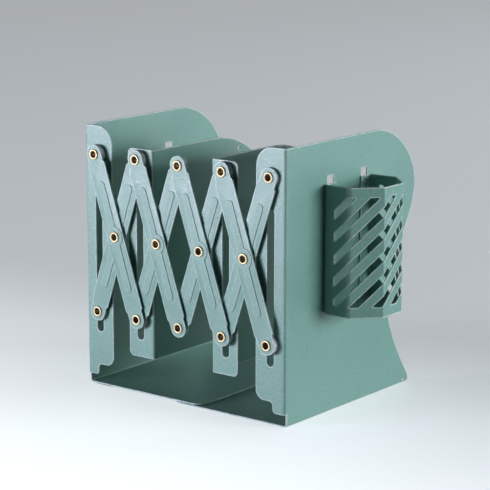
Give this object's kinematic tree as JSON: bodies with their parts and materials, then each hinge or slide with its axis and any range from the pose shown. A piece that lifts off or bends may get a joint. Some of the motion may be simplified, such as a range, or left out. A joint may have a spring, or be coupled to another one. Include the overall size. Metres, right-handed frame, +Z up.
{
  "type": "expandable bookend",
  "caption": "Expandable desk bookend: folded steel end panels and hanging dividers joined by a front scissor linkage, with a slotted hook-on pen cup.",
  "frame": {"origin": "middle of the footprint's bounding box at rest, on the surface that the bookend stands on", "axes": "+X the way it expands, from the left end panel to the right one, which carries the pen cup; +Y from the linkage at the front to the open back; +Z up"},
  "size_m": [0.2264, 0.1692, 0.2],
  "materials": {
    "sage_paint": "satin powder coat with a very fine texture",
    "brass_eyelet": "bright rolled eyelet",
    "grey_washer": "matt warm grey",
    "foam_pad": "matt closed-cell foam"
  },
  "bodies": {
    "left_end": {"left_end_panel": "sage_paint", "left_pad_front": "foam_pad", "left_pad_rear": "foam_pad", "top_eyelet_1": "brass_eyelet", "top_spacer_1": "grey_washer"},
    "front_arm_1": {"front_link_1": "sage_paint", "middle_eyelet_1": "brass_eyelet", "bottom_eyelet_2": "brass_eyelet", "bottom_spacer_2": "grey_washer", "bottom_washer_2": "grey_washer"},
    "back_arm_1": {"back_link_1": "sage_paint", "bottom_eyelet_1": "brass_eyelet", "bottom_spacer_1": "grey_washer"},
    "left_divider_group": {"left_divider": "sage_paint", "top_eyelet_2": "brass_eyelet", "top_spacer_2": "grey_washer", "top_washer_2": "grey_washer"},
    "front_arm_2": {"front_link_2": "sage_paint", "middle_eyelet_2": "brass_eyelet", "bottom_eyelet_3": "brass_eyelet", "bottom_washer_3": "grey_washer"},
    "back_arm_2": {"back_link_2": "sage_paint", "top_eyelet_3": "brass_eyelet", "top_washer_3": "grey_washer"},
    "front_arm_3": {"front_link_3": "sage_paint", "middle_eyelet_3": "brass_eyelet", "bottom_eyelet_4": "brass_eyelet", "bottom_spacer_4": "grey_washer", "bottom_washer_4": "grey_washer"},
    "back_arm_3": {"back_link_3": "sage_paint"},
    "right_divider_group": {"right_divider": "sage_paint", "top_eyelet_4": "brass_eyelet", "top_spacer_4": "grey_washer", "top_washer_4": "grey_washer"},
    "front_arm_4": {"front_link_4": "sage_paint", "middle_eyelet_4": "brass_eyelet", "bottom_eyelet_5": "brass_eyelet", "bottom_spacer_5": "grey_washer"},
    "back_arm_4": {"back_link_4": "sage_paint"},
    "right_end": {"right_end_panel": "sage_paint", "top_eyelet_5": "brass_eyelet", "top_spacer_5": "grey_washer"},
    "cup": {"pen_cup": "sage_paint"}
  },
  "joints": [
    {"name": "expand", "type": "hinge", "parent": "left_end", "child": "front_arm_1", "pos_m": [-0.10015, -0.08045, 0.1792], "axis": [0, -1, 0], "range_deg": [-6.3, 58]},
    {"name": "cross_1", "type": "hinge", "parent": "front_arm_1", "child": "back_arm_1", "pos_m": [-0.08015, -0.08045, 0.11945], "axis": [0, -1, 0], "range_deg": [-132, 28.6]},
    {"name": "hang_left_divider", "type": "hinge", "parent": "back_arm_1", "child": "left_divider_group", "pos_m": [-0.06015, -0.08045, 0.1792], "axis": [0, -1, 0], "range_deg": [-14.3, 66]},
    {"name": "lead_2", "type": "hinge", "parent": "left_divider_group", "child": "front_arm_2", "pos_m": [-0.06015, -0.08045, 0.1792], "axis": [0, -1, 0], "range_deg": [-14.3, 66]},
    {"name": "cross_2", "type": "hinge", "parent": "front_arm_2", "child": "back_arm_2", "pos_m": [-0.04015, -0.08045, 0.11945], "axis": [0, -1, 0], "range_deg": [-132, 28.6]},
    {"name": "lead_3", "type": "hinge", "parent": "back_arm_2", "child": "front_arm_3", "pos_m": [-0.02015, -0.08045, 0.1792], "axis": [0, -1, 0], "range_deg": [-28.6, 132]},
    {"name": "cross_3", "type": "hinge", "parent": "front_arm_3", "child": "back_arm_3", "pos_m": [-0.00015, -0.08045, 0.11945], "axis": [0, -1, 0], "range_deg": [-132, 28.6]},
    {"name": "hang_right_divider", "type": "hinge", "parent": "back_arm_3", "child": "right_divider_group", "pos_m": [0.01985, -0.08045, 0.1792], "axis": [0, -1, 0], "range_deg": [-14.3, 66]},
    {"name": "lead_4", "type": "hinge", "parent": "right_divider_group", "child": "front_arm_4", "pos_m": [0.01985, -0.08045, 0.1792], "axis": [0, -1, 0], "range_deg": [-14.3, 66]},
    {"name": "cross_4", "type": "hinge", "parent": "front_arm_4", "child": "back_arm_4", "pos_m": [0.03985, -0.08045, 0.11945], "axis": [0, -1, 0], "range_deg": [-132, 28.6]},
    {"name": "hang_right_end", "type": "hinge", "parent": "back_arm_4", "child": "right_end", "pos_m": [0.05985, -0.08045, 0.1792], "axis": [0, -1, 0], "range_deg": [-14.3, 66]},
    {"name": "cup_lift", "type": "slide", "parent": "right_end", "child": "cup", "axis": [0, 0, 1], "range_m": [0, 0.0068]}
  ],
  "couplings": [
    {"joint": "cross_1", "follows": "expand", "ratio": -2},
    {"joint": "hang_left_divider", "follows": "expand", "ratio": 1},
    {"joint": "lead_2", "follows": "expand", "ratio": 1},
    {"joint": "cross_2", "follows": "expand", "ratio": -2},
    {"joint": "lead_3", "follows": "expand", "ratio": 2},
    {"joint": "cross_3", "follows": "expand", "ratio": -2},
    {"joint": "hang_right_divider", "follows": "expand", "ratio": 1},
    {"joint": "lead_4", "follows": "expand", "ratio": 1},
    {"joint": "cross_4", "follows": "expand", "ratio": -2},
    {"joint": "hang_right_end", "follows": "expand", "ratio": 1}
  ]
}
